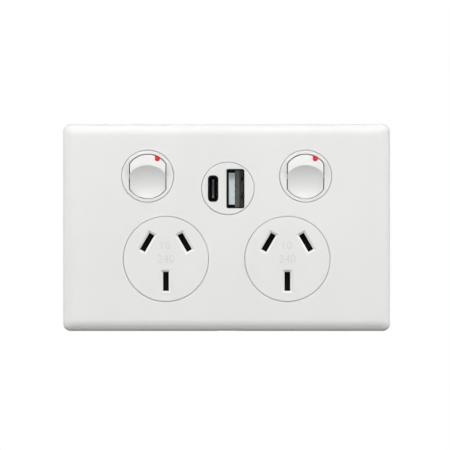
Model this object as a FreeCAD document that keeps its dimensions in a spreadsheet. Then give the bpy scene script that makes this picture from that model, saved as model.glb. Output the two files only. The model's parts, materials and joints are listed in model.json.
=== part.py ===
import FreeCAD
import Part
import math
import os
import Sketcher
from FreeCAD import Placement, Rotation, Vector

# Double switched wall socket with a USB module between the switches.
# X runs to the right, Y into the wall and Z up. The origin is the middle of the
# two fixing holes on the wall's surface, and heights are counted out of the wall.

os.makedirs("parts", exist_ok=True)
doc = FreeCAD.newDocument("WallSocket")
sheet = doc.addObject("Spreadsheet::Sheet", "Sizes")

SIZES = {
    # Cover plate
    "plate_width": 120, "plate_height": 76, "plate_depth": 9, "plate_corner": 2.75,
    "rim_gap": 0.3, "side_lean": 0.8, "crown_radius": 5, "crown_angle": 44.4,
    "cover_wall": 1.9, "face_thickness": 2, "disc_gap": 0.15, "disc_proud": 0.12,
    "edge_break": 0.2, "lug_width": 7, "lug_thickness": 0.7, "lug_reach": 1.1,
    "notch_height": 0.9,
    # Mounting frame
    "frame_gap": 0.45, "frame_thickness": 2.4, "rib_setback": 1.2, "rib_thickness": 1.5,
    "collar_wall": 1.3, "face_clearance": 0.6, "ledge_height": 1.2, "ledge_width": 0.9,
    "fixing_spread": 42, "fixing_radius": 2.2, "fixing_seat_radius": 4.4,
    "fixing_boss_radius": 5.8, "fixing_boss_height": 5,
    "panel_width": 9, "panel_height": 26, "panel_depth": 1.2, "panel_inset": 2.2,
    # Socket outlets
    "socket_spread": 22.2, "socket_drop": 11.56, "socket_radius": 15.5,
    "socket_face": 3, "socket_skirt": 1.6, "pin_circle_rise": 2.16,
    "live_pin_radius": 7.92, "earth_pin_radius": 10.31, "pin_angle": 60,
    "slot_length": 7, "slot_width": 2.1, "slot_bevel": 0.75, "guide_wall": 1.1,
    "guide_foot": 0.6,
    # Switches
    "switch_spread": 28.85, "switch_rise": 18.7, "bezel_radius": 9.45,
    "window_radius": 8.28, "window_width": 13.7, "rocker_width": 13,
    "rocker_edge": 8.05, "pivot_sink": 1.72, "rocker_tilt": 8, "rocker_skirt": 2.4,
    "dome_radius": 35, "dome_shift": 4.55, "dome_depth": 31.21,
    "scoop_radius": 20, "scoop_shift": 3.63, "scoop_height": 20.87, "crest_round": 0.3,
    "trunnion_radius": 1, "trunnion_reach": 8.5, "bearing_gap": 0.05,
    "stem_radius": 2.3, "stem_length": 6, "spring_bore": 1.65, "bore_top": 1.6,
    "plunger_radius": 1.5, "plunger_reach": 10.5, "plunger_gap": 0.06,
    "plunger_pin": 0.6, "plunger_pin_length": 1,
    "spring_radius": 1.15, "spring_wire": 0.2, "spring_room": 3, "spring_turns": 4,
    "mark_shift": 3.55, "mark_width": 1.85, "mark_rise": 5.8, "mark_floor": 0.3,
    # Contacts and bars
    "arm_width": 3.6, "arm_length": 7.6, "arm_thickness": 0.8, "arm_tilt": 7,
    "arm_notch": 0.25, "knife_radius": 0.15, "knife_gap": 0.05, "knife_height": 0.9,
    "arm_contact": 6, "contact_radius": 1.4, "contact_height": 0.7, "contact_gap": 0.03,
    "bar_thickness": 0.8, "earth_level": 12.9, "bar_step": 2.35, "bar_width": 4,
    "rail_width": 3.4, "rail_gap": 0.7, "clip_width": 6, "clip_leaf": 0.6,
    "clip_root": 1.5, "clip_nip": 1.3, "clip_mouth": 1.2, "clip_flare": 2.2,
    "terminal_spread": 9, "terminal_drop": 20, "terminal_width": 6.6,
    "terminal_length": 8, "terminal_height": 7.2, "tunnel_radius": 2.1,
    "tunnel_depth": 3.4, "terminal_screw_radius": 1.7, "terminal_screw_length": 3.6,
    "screw_gap": 0.05,
    # Rear housing
    "housing_side_room": 8.65, "housing_top_room": 11.5, "housing_low_room": 6.5,
    "housing_wall": 1.8, "housing_corner": 3, "housing_bevel": 0.8,
    "carrier_thickness": 0.6, "carrier_gap": 0.3, "post_radius": 1.6, "lane_gap": 0.5,
    "cheek_thickness": 1.2, "guard_rise": 1.1, "guard_lip": 0.3, "guard_gap": 0.05,
    "access_radius": 2.6, "top_screw_spread": 17, "top_screw_inset": 4,
    "low_screw_inset": 3.1, "screw_radius": 1.2, "screw_head": 2.2,
    "screw_head_height": 1.4, "screw_post": 2.6, "screw_bite": 4,
    # USB module
    "usb_shift": 0.45, "usb_drop": 4.5, "usb_radius": 9.55, "usb_a_shift": 2.75,
    "usb_a_width": 6.6, "usb_a_height": 14.4, "usb_c_shift": 5.4, "usb_c_width": 3.85,
    "usb_c_height": 9.75, "port_recess": 0.9, "shell_wall": 0.35,
    "shell_gap": 0.15, "tongue_side": 0.9, "tongue_width": 2.2, "tongue_height": 11.6,
    "tongue_sink": 1.6, "strip_thickness": 0.25, "strip_width": 1, "strip_sink": 0.8,
    "blade_thickness": 0.7, "blade_height": 6.7, "blade_sink": 1.2,
    "case_half": 11.8, "case_wall": 1.2, "case_corner": 1.5, "lid_thickness": 1.5,
    "board_level": 6.5, "board_thickness": 1.2, "board_spacing": 8.5, "board_room": 1.4,
    "core_room": 3.1, "core_drop": 2, "core_height": 12, "core_depth": 7.2,
    "winding_inset": 1.2, "winding_height": 14, "winding_depth": 4.8,
    "can_room": 0.7, "can_gap": 0.6, "can_drop": 4.4, "can_radius": 2.9, "can_height": 7.4,
}


class Length:
    """A size that carries its value and the sheet formula that gives it."""

    def __init__(self, value, text):
        self.value = value
        self.text = text

    def __add__(self, other):
        return Length(self.value + number(other), "(%s + %s)" % (self.text, words(other)))

    def __radd__(self, other):
        return Length(number(other) + self.value, "(%s + %s)" % (words(other), self.text))

    def __sub__(self, other):
        return Length(self.value - number(other), "(%s - %s)" % (self.text, words(other)))

    def __rsub__(self, other):
        return Length(number(other) - self.value, "(%s - %s)" % (words(other), self.text))

    def __mul__(self, other):
        return Length(self.value * number(other), "(%s * %s)" % (self.text, words(other)))

    def __rmul__(self, other):
        return self * other

    def __truediv__(self, other):
        return Length(self.value / number(other), "(%s / %s)" % (self.text, words(other)))

    def __neg__(self):
        return Length(-self.value, "(0 - %s)" % self.text)


def number(size):
    """The plain value of a size."""
    return size.value if isinstance(size, Length) else size


def words(size):
    """The formula of a size."""
    return size.text if isinstance(size, Length) else "(%s)" % repr(size)


def sine(angle):
    """Sine of an angle in degrees, as a size."""
    return Length(math.sin(math.radians(number(angle))), "sin(%s)" % words(angle))


def cosine(angle):
    """Cosine of an angle in degrees, as a size."""
    return Length(math.cos(math.radians(number(angle))), "cos(%s)" % words(angle))


def bind(target, path, size):
    """Tie one property to the sheet."""
    if isinstance(size, Length):
        target.setExpression(path, size.text)


class Names:
    """Gives each sheet cell as a size under its own name."""


size = Names()
for row, (alias, amount) in enumerate(SIZES.items(), start=1):
    sheet.set("A%d" % row, alias)
    sheet.set("B%d" % row, str(amount))
    sheet.setAlias("B%d" % row, alias)
    setattr(size, alias, Length(float(amount), "Sizes.%s" % alias))
doc.recompute()

BODIES = []


def new_body(name):
    """Start one moulded, pressed or turned piece."""
    body = doc.addObject("PartDesign::Body", name)
    body.Label = name
    BODIES.append(body)
    return body


def place(body, across=0, depth=0, up=0):
    """Move a finished piece to its place, with depth counted into the wall."""
    body.Placement = Placement(
        Vector(number(across), number(depth), number(up)), Rotation())
    bind(body, "Placement.Base.x", across)
    bind(body, "Placement.Base.y", depth)
    bind(body, "Placement.Base.z", up)


def sketch_on(body, role, height=0, across=0, up=0, turn=None):
    """A sketch parallel to one origin plane of the piece.

    On XZ_Plane, height is counted out of the wall. With turn, an XY_Plane
    sketch is swung about the axis that points into the wall.
    """
    sketch = body.newObject("Sketcher::SketchObject", body.Name + "_sketch")
    for plane in body.Origin.OriginFeatures:
        if plane.Role == role:
            sketch.AttachmentSupport = [(plane, "")]
    sketch.MapMode = "FlatFace"
    spin = Rotation()
    if turn is not None:
        spin = Rotation(Vector(0, 1, 0), number(turn))
    sketch.AttachmentOffset = Placement(
        Vector(number(across), number(up), number(height)), spin)
    bind(sketch, "AttachmentOffset.Base.x", across)
    bind(sketch, "AttachmentOffset.Base.y", up)
    bind(sketch, "AttachmentOffset.Base.z", height)
    return sketch


def hold(sketch, kind, edge, point, amount):
    """Fix one coordinate of a point in a sketch."""
    rule = Sketcher.Constraint(kind, -1, 1, edge, point, number(amount))
    bind(sketch, "Constraints[%d]" % sketch.addConstraint(rule), amount)


def hold_point(sketch, edge, point, spot):
    """Fix both coordinates of a point in a sketch."""
    hold(sketch, "DistanceX", edge, point, spot[0])
    hold(sketch, "DistanceY", edge, point, spot[1])


def flat(spot):
    """A sketch point as a vector."""
    return Vector(number(spot[0]), number(spot[1]), 0)


def circle(sketch, across, up, radius):
    """A circle in a sketch."""
    edge = sketch.addGeometry(
        Part.Circle(flat((across, up)), Vector(0, 0, 1), number(radius)), False)
    hold_point(sketch, edge, 3, (across, up))
    rule = Sketcher.Constraint("Radius", edge, number(radius))
    bind(sketch, "Constraints[%d]" % sketch.addConstraint(rule), radius)


def outline(sketch, corners, arcs=None):
    """A closed outline through corners; arcs gives an edge its centre and radius."""
    arcs = arcs or {}
    ends = []
    count = len(corners)
    for index in range(count):
        start = flat(corners[index])
        end = flat(corners[(index + 1) % count])
        if index not in arcs:
            edge = sketch.addGeometry(Part.LineSegment(start, end), False)
            ends.append((edge, 1, 2))
            continue
        centre, radius = arcs[index]
        middle = flat(centre)
        turning = (start - middle).cross(end - middle).z
        first, last = (start, end) if turning > 0 else (end, start)
        ring = Part.Circle(middle, Vector(0, 0, 1), number(radius))
        arc = Part.ArcOfCircle(
            ring, (first - middle).getAngle(Vector(1, 0, 0)) * (1 if first.y >= middle.y else -1),
            (last - middle).getAngle(Vector(1, 0, 0)) * (1 if last.y >= middle.y else -1))
        edge = sketch.addGeometry(arc, False)
        ends.append((edge, 1, 2) if turning > 0 else (edge, 2, 1))
    for index in range(count):
        edge, _, last = ends[index]
        following, first, _ = ends[(index + 1) % count]
        sketch.addConstraint(Sketcher.Constraint("Coincident", edge, last, following, first))
    for index in range(count):
        hold_point(sketch, ends[index][0], ends[index][1], corners[index])
    for index, (centre, radius) in arcs.items():
        rule = Sketcher.Constraint("Radius", ends[index][0], number(radius))
        bind(sketch, "Constraints[%d]" % sketch.addConstraint(rule), radius)


def box(sketch, left, right, low, high):
    """A rectangle between two pairs of coordinates."""
    outline(sketch, [(left, low), (right, low), (right, high), (left, high)])


def rounded(sketch, left, right, low, high, radius):
    """A rectangle with four equal round corners."""
    x0, x1, y0, y1, r = (number(left), number(right), number(low), number(high),
                         number(radius))
    up = Vector(0, 0, 1)
    quarter = math.pi / 2
    edges = sketch.addGeometry([
        Part.LineSegment(Vector(x0 + r, y0, 0), Vector(x1 - r, y0, 0)),
        Part.ArcOfCircle(Part.Circle(Vector(x1 - r, y0 + r, 0), up, r), -quarter, 0),
        Part.LineSegment(Vector(x1, y0 + r, 0), Vector(x1, y1 - r, 0)),
        Part.ArcOfCircle(Part.Circle(Vector(x1 - r, y1 - r, 0), up, r), 0, quarter),
        Part.LineSegment(Vector(x1 - r, y1, 0), Vector(x0 + r, y1, 0)),
        Part.ArcOfCircle(Part.Circle(Vector(x0 + r, y1 - r, 0), up, r), quarter, 2 * quarter),
        Part.LineSegment(Vector(x0, y1 - r, 0), Vector(x0, y0 + r, 0)),
        Part.ArcOfCircle(Part.Circle(Vector(x0 + r, y0 + r, 0), up, r), 2 * quarter, 3 * quarter),
    ], False)
    rules = []
    for index in range(8):
        rules.append(Sketcher.Constraint(
            "Tangent", edges[index], 2, edges[(index + 1) % 8], 1))
    for index, kind in ((0, "Horizontal"), (2, "Vertical"), (4, "Horizontal"), (6, "Vertical")):
        rules.append(Sketcher.Constraint(kind, edges[index]))
    for index in (3, 5, 7):
        rules.append(Sketcher.Constraint("Equal", edges[1], edges[index]))
    sketch.addConstraint(rules)
    rule = Sketcher.Constraint("Radius", edges[1], r)
    bind(sketch, "Constraints[%d]" % sketch.addConstraint(rule), radius)
    hold(sketch, "DistanceY", edges[0], 1, low)
    hold(sketch, "DistanceX", edges[2], 1, right)
    hold(sketch, "DistanceY", edges[4], 1, high)
    hold(sketch, "DistanceX", edges[6], 1, left)


def flatted(sketch, radius, half_width):
    """A circle about the sketch's origin with its left and right sides cut straight."""
    r, w = number(radius), number(half_width)
    rise = math.sqrt(r * r - w * w)
    reach = math.atan2(rise, w)
    ring = Part.Circle(Vector(0, 0, 0), Vector(0, 0, 1), r)
    edges = sketch.addGeometry([
        Part.ArcOfCircle(ring, reach, math.pi - reach),
        Part.LineSegment(Vector(-w, rise, 0), Vector(-w, -rise, 0)),
        Part.ArcOfCircle(ring, math.pi + reach, 2 * math.pi - reach),
        Part.LineSegment(Vector(w, -rise, 0), Vector(w, rise, 0)),
    ], False)
    rules = []
    for index in range(4):
        rules.append(Sketcher.Constraint(
            "Coincident", edges[index], 2, edges[(index + 1) % 4], 1))
    for index in (0, 2):
        rules.append(Sketcher.Constraint("Coincident", edges[index], 3, -1, 1))
    rules.append(Sketcher.Constraint("Equal", edges[0], edges[2]))
    for index in (1, 3):
        rules.append(Sketcher.Constraint("Vertical", edges[index]))
    sketch.addConstraint(rules)
    rule = Sketcher.Constraint("Radius", edges[0], r)
    bind(sketch, "Constraints[%d]" % sketch.addConstraint(rule), radius)
    hold(sketch, "DistanceX", edges[1], 1, -half_width)
    hold(sketch, "DistanceX", edges[3], 1, half_width)


def leaning(sketch, across, up, length, width, lean):
    """An upright slot that leans to the right by an angle."""
    along = (sine(lean), cosine(lean))
    aside = (cosine(lean), -sine(lean))
    corners = []
    for end, side in ((-0.5, -0.5), (-0.5, 0.5), (0.5, 0.5), (0.5, -0.5)):
        corners.append((across + along[0] * length * end + aside[0] * width * side,
                        up + along[1] * length * end + aside[1] * width * side))
    outline(sketch, corners)


def pad(body, sketch, length, both=False, back=False):
    """Raise a sketch into a solid."""
    feature = body.newObject("PartDesign::Pad", body.Name + "_pad")
    feature.Profile = sketch
    feature.Length = number(length)
    bind(feature, "Length", length)
    feature.Midplane = both
    feature.Reversed = back
    return feature


def pocket(body, sketch, length, both=False, back=False):
    """Cut a sketch out of the solid, towards the wall unless back is given."""
    feature = body.newObject("PartDesign::Pocket", body.Name + "_pocket")
    feature.Profile = sketch
    feature.Length = number(length)
    bind(feature, "Length", length)
    feature.Midplane = both
    feature.Reversed = back
    return feature


def turned(body, sketch, kind="PartDesign::Revolution"):
    """Turn a sketch about its own upright axis, or cut it with kind Groove."""
    feature = body.newObject(kind, body.Name + "_turned")
    feature.Profile = sketch
    feature.ReferenceAxis = (sketch, ["V_Axis"])
    feature.Angle = 360
    return feature


def loft(body, sketches, kind="PartDesign::AdditiveLoft", ruled=True):
    """Join a row of outlines into a solid, or cut them out."""
    feature = body.newObject(kind, body.Name + "_loft")
    feature.Profile = sketches[0]
    feature.Sections = sketches[1:]
    feature.Ruled = ruled
    return feature


def edges_where(feature, wanted):
    """The names of a feature's edges that pass a test."""
    names = []
    for index, edge in enumerate(feature.Shape.Edges, start=1):
        if wanted(edge):
            names.append("Edge%d" % index)
    return names


def break_edges(body, feature, wanted, amount, kind="PartDesign::Chamfer"):
    """Chamfer or fillet the edges that pass a test."""
    doc.recompute()
    result = body.newObject(kind, body.Name + "_edge")
    result.Base = (feature, edges_where(feature, wanted))
    if kind == "PartDesign::Chamfer":
        result.Size = number(amount)
        bind(result, "Size", amount)
    else:
        result.Radius = number(amount)
        bind(result, "Radius", amount)
    return result


def at_height(height):
    """A test for edges that lie at one height above the wall."""
    level = -number(height)

    def wanted(edge):
        bounds = edge.BoundBox
        return abs(bounds.YMin - level) < 1e-4 and abs(bounds.YMax - level) < 1e-4
    return wanted


half_width = size.plate_width / 2
half_height = size.plate_height / 2
crown_width = size.crown_radius * sine(size.crown_angle)
crown_drop = size.crown_radius * (1 - cosine(size.crown_angle))
shoulder = size.plate_depth - crown_drop
cavity_top = size.plate_depth - size.face_thickness
disc_face = size.plate_depth + size.disc_proud
lean_slope = size.side_lean / (shoulder - size.rim_gap)
frame_half_width = half_width - size.cover_wall - size.frame_gap
frame_half_height = half_height - size.cover_wall - size.frame_gap
collar_radius = size.bezel_radius + size.disc_gap
usb_hole = size.usb_radius + size.disc_gap
socket_rise = -size.socket_drop
pin_rise = size.pin_circle_rise - size.socket_drop
live_across = size.live_pin_radius * sine(size.pin_angle)
live_up = pin_rise + size.live_pin_radius * cosine(size.pin_angle)
earth_up = pin_rise - size.earth_pin_radius
pin_lean = 90 - size.pin_angle
collar_height = cavity_top - size.face_clearance
rocker_pivot = disc_face - size.pivot_sink
arm_front = size.arm_thickness / 2 + size.arm_notch
arm_back = size.arm_thickness / 2 - size.arm_notch
arm_pivot = rocker_pivot - size.plunger_reach - size.plunger_gap - arm_front
neutral_level = size.earth_level + size.bar_step
active_level = neutral_level + size.bar_step
usb_rise = size.switch_rise - size.usb_drop
housing_half = size.switch_spread + size.housing_side_room
housing_top = size.switch_rise + size.housing_top_room
housing_bottom = size.terminal_drop + size.housing_low_room
housing_depth = (active_level + size.terminal_height + size.carrier_thickness
                 + size.housing_wall)


def pins(side):
    """Centre and lean of the active, neutral and earth slots of one outlet."""
    middle = size.socket_spread * side
    return ((middle - live_across, live_up, pin_lean),
            (middle + live_across, live_up, -pin_lean),
            (middle, earth_up, size.pin_angle * 0))


def inset_plate(sketch, inset, corner):
    """The plate's outline drawn in by an inset."""
    rounded(sketch, inset - half_width, half_width - inset,
            inset - half_height, half_height - inset, corner)


# Cover plate: a leaning skirt, a crown of one radius and a flat face, hollow from behind.
cover = new_body("cover_plate")
skirt = []
for height, inset, corner in (
        (size.rim_gap, size.side_lean * 0, size.plate_corner),
        (shoulder, size.side_lean, size.plate_corner - size.side_lean / 2)):
    skirt.append(sketch_on(cover, "XZ_Plane", height))
    inset_plate(skirt[-1], inset, corner)
loft(cover, skirt)
crown = []
for step in range(5):
    angle = size.crown_angle * (1 - step / 4)
    inset = size.side_lean + crown_width - size.crown_radius * sine(angle)
    height = size.plate_depth - size.crown_radius * (1 - cosine(angle))
    crown.append(sketch_on(cover, "XZ_Plane", height))
    inset_plate(crown[-1], inset, size.plate_corner - inset / 2)
loft(cover, crown, ruled=False)
hollow = []
for height in (size.rim_gap, cavity_top):
    inset = size.cover_wall + lean_slope * (height - size.rim_gap)
    hollow.append(sketch_on(cover, "XZ_Plane", height))
    inset_plate(hollow[-1], inset, size.plate_corner - inset / 2)
loft(cover, hollow, "PartDesign::SubtractiveLoft")

rings = sketch_on(cover, "XZ_Plane", cavity_top)
for side in (-1, 1):
    circle(rings, size.socket_spread * side, socket_rise,
           size.socket_radius + size.disc_gap + 1.2)
pad(cover, rings, size.face_thickness * 0.8, back=True)
holes = sketch_on(cover, "XZ_Plane", size.plate_depth)
for side in (-1, 1):
    circle(holes, size.socket_spread * side, socket_rise, size.socket_radius + size.disc_gap)
    circle(holes, size.switch_spread * side, size.switch_rise, collar_radius)
circle(holes, size.usb_shift, usb_rise, usb_hole)
openings = pocket(cover, holes, size.plate_depth)


def round_hole_mouth(edge):
    """Round edges of the five holes on the cover's face."""
    on_face = at_height(size.plate_depth)(edge)
    return on_face and isinstance(edge.Curve, Part.Circle) and \
        edge.Curve.Radius > number(size.usb_radius) / 2


break_edges(cover, openings, round_hole_mouth, size.edge_break)
lugs = sketch_on(cover, "XZ_Plane", size.rim_gap)
lug_root = half_height - size.cover_wall + size.edge_break
for side in (-1, 1):
    middle = half_width * 0.5 * side
    box(lugs, middle - size.lug_width / 2, middle + size.lug_width / 2,
        lug_root - size.lug_reach - size.edge_break, lug_root)
    box(lugs, middle - size.lug_width / 2, middle + size.lug_width / 2,
        -lug_root, size.lug_reach + size.edge_break - lug_root)
pad(cover, lugs, size.lug_thickness)
notch = sketch_on(cover, "XZ_Plane", size.rim_gap)
box(notch, size.lug_width / -2, size.lug_width / 2,
    -half_height - 1, size.cover_wall + 0.1 - half_height)
pocket(cover, notch, size.notch_height, back=True)


# Mounting frame: the grid screwed to the wall, with both outlet faces moulded on.
frame = new_body("mounting_frame")
grid = sketch_on(frame, "XZ_Plane")
rounded(grid, -frame_half_width, frame_half_width, -frame_half_height, frame_half_height, 1.2)
pad(frame, grid, size.frame_thickness)
rib = sketch_on(frame, "XZ_Plane")
for inset in (size.rib_setback, size.rib_setback + size.rib_thickness):
    rounded(rib, inset - frame_half_width, frame_half_width - inset,
            inset - frame_half_height, frame_half_height - inset, 1)
pad(frame, rib, cavity_top)
bosses = sketch_on(frame, "XZ_Plane")
for side in (-1, 1):
    circle(bosses, size.socket_spread * side, socket_rise, size.socket_radius)
pad(frame, bosses, disc_face)
collars = sketch_on(frame, "XZ_Plane")
for side in (-1, 1):
    circle(collars, size.switch_spread * side, size.switch_rise,
           collar_radius + size.collar_wall)
circle(collars, size.usb_shift, usb_rise, usb_hole + size.collar_wall)
pad(frame, collars, collar_height)
fixings = sketch_on(frame, "XZ_Plane")
for side in (-1, 1):
    circle(fixings, size.fixing_spread * side, 0, size.fixing_boss_radius)
pad(frame, fixings, size.fixing_boss_height)
pilots = sketch_on(frame, "XZ_Plane")
screw_spots = []
for side in (-1, 1):
    screw_spots.append((size.top_screw_spread * side, housing_top - size.top_screw_inset))
    screw_spots.append(((housing_half - size.low_screw_inset) * side,
                        size.low_screw_inset - housing_bottom))
for spot in screw_spots:
    circle(pilots, spot[0], spot[1], size.screw_post)
pad(frame, pilots, size.screw_bite + 1)
wells = sketch_on(frame, "XZ_Plane")
for side in (-1, 1):
    circle(wells, size.socket_spread * side, socket_rise,
           size.socket_radius - size.socket_skirt)
pocket(frame, wells, disc_face - size.socket_face, back=True)
guides = sketch_on(frame, "XZ_Plane", size.guide_foot)
for side in (-1, 1):
    for across, up, lean in pins(side):
        leaning(guides, across, up, size.slot_length + size.guide_wall * 2,
                size.slot_width + size.guide_wall * 2, lean)
pad(frame, guides, disc_face - size.socket_face - size.guide_foot + 0.5)
slots = sketch_on(frame, "XZ_Plane", disc_face)
for side in (-1, 1):
    for across, up, lean in pins(side):
        leaning(slots, across, up, size.slot_length, size.slot_width, lean)
slotted = pocket(frame, slots, disc_face)


def slot_mouth(edge):
    """Straight edges of the pin slots on the outlet faces."""
    return at_height(disc_face)(edge) and isinstance(edge.Curve, Part.Line)


def outlet_rim(edge):
    """Outer round edges of the two outlet faces."""
    if not (at_height(disc_face)(edge) and isinstance(edge.Curve, Part.Circle)):
        return False
    return abs(edge.Curve.Radius - number(size.socket_radius)) < 1e-4


bevelled = break_edges(frame, slotted, slot_mouth, size.slot_bevel)
break_edges(frame, bevelled, outlet_rim, size.edge_break)
seats = sketch_on(frame, "XZ_Plane", collar_height)
for side in (-1, 1):
    circle(seats, size.switch_spread * side, size.switch_rise, collar_radius)
pocket(frame, seats, collar_height - size.ledge_height)
ledges = sketch_on(frame, "XZ_Plane", collar_height)
for side in (-1, 1):
    circle(ledges, size.switch_spread * side, size.switch_rise,
           collar_radius - size.ledge_width)
circle(ledges, size.usb_shift, usb_rise, usb_hole)
pocket(frame, ledges, collar_height)
seats = sketch_on(frame, "XZ_Plane", size.fixing_boss_height)
for side in (-1, 1):
    circle(seats, size.fixing_spread * side, 0, size.fixing_seat_radius)
pocket(frame, seats, size.fixing_boss_height - size.frame_thickness)
holes = sketch_on(frame, "XZ_Plane", size.frame_thickness)
for side in (-1, 1):
    circle(holes, size.fixing_spread * side, 0, size.fixing_radius)
pocket(frame, holes, size.frame_thickness)
bites = sketch_on(frame, "XZ_Plane")
for spot in screw_spots:
    circle(bites, spot[0], spot[1], size.screw_radius)
pocket(frame, bites, size.screw_bite, back=True)
hooks = sketch_on(frame, "XZ_Plane")
hook_floor = half_height - size.cover_wall - size.lug_reach - 0.4
for side in (-1, 1):
    middle = half_width * 0.5 * side
    reach = size.lug_width / 2 + 0.5
    box(hooks, middle - reach, middle + reach, hook_floor, frame_half_height + 1)
    box(hooks, middle - reach, middle + reach, -frame_half_height - 1, -hook_floor)
pocket(frame, hooks, size.rim_gap * 2 + size.lug_thickness, back=True)
panels = sketch_on(frame, "XZ_Plane")
panel_out = frame_half_width - size.panel_inset
panel_end = frame_half_height - size.panel_inset
for side in (-1, 1):
    middle = (panel_out - size.panel_width / 2) * side
    for way in (-1, 1):
        rounded(panels, middle - size.panel_width / 2, middle + size.panel_width / 2,
                (panel_end - size.panel_height / 2) * way - size.panel_height / 2,
                (panel_end - size.panel_height / 2) * way + size.panel_height / 2, 1)
pocket(frame, panels, size.panel_depth, back=True)


def tilt(body, angle):
    """Turn a piece about its own X axis."""
    base = body.Placement.Base
    body.Placement = Placement(base, Rotation(Vector(1, 0, 0), number(angle)))
    bind(body, "Placement.Rotation.Angle", angle)


def trim_ball(body):
    """Cut a piece's edge to a ball about the rocker's pivot."""
    ring = sketch_on(body, "XY_Plane")
    rise = size.rocker_edge * 0.8
    run = size.rocker_edge * 0.6
    outside = size.rocker_edge + 3
    outline(ring, [(run, rise), (outside, rise), (outside, -rise), (run, -rise)],
            {3: ((0, 0), size.rocker_edge)})
    turned(body, ring, "PartDesign::Groove")


def cut_cap(body, up, centre, radius, sign):
    """Cut away what lies outside a ball (sign 1) or inside one (sign -1)."""
    sketch = sketch_on(body, "XY_Plane", up)
    reach = size.rocker_edge * 1.6
    apex = centre + radius * sign
    fall = math.sqrt(number(radius) ** 2 - number(reach) ** 2)
    root = Length(fall, "sqrt(%s * %s - %s * %s)" % (
        radius.text, radius.text, reach.text, reach.text))
    edge = centre + root * sign
    above = size.rocker_edge * 2 + 2
    outline(sketch, [(0, -apex), (reach, -edge), (reach, -above), (0, -above)],
            {0: ((0, -centre), radius)})
    return turned(body, sketch, "PartDesign::Groove")


def mark_outline(sketch):
    """A tab with a round lower end that runs out over the rocker's upper edge."""
    left = size.mark_shift - size.mark_width / 2
    right = size.mark_shift + size.mark_width / 2
    low = size.mark_rise + size.mark_width * 0.3
    high = size.rocker_edge + 1
    outline(sketch, [(left, low), (right, low), (right, high), (left, high)],
            {0: ((size.mark_shift, low + size.mark_width * 0.229), size.mark_width * 0.55)})


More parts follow.
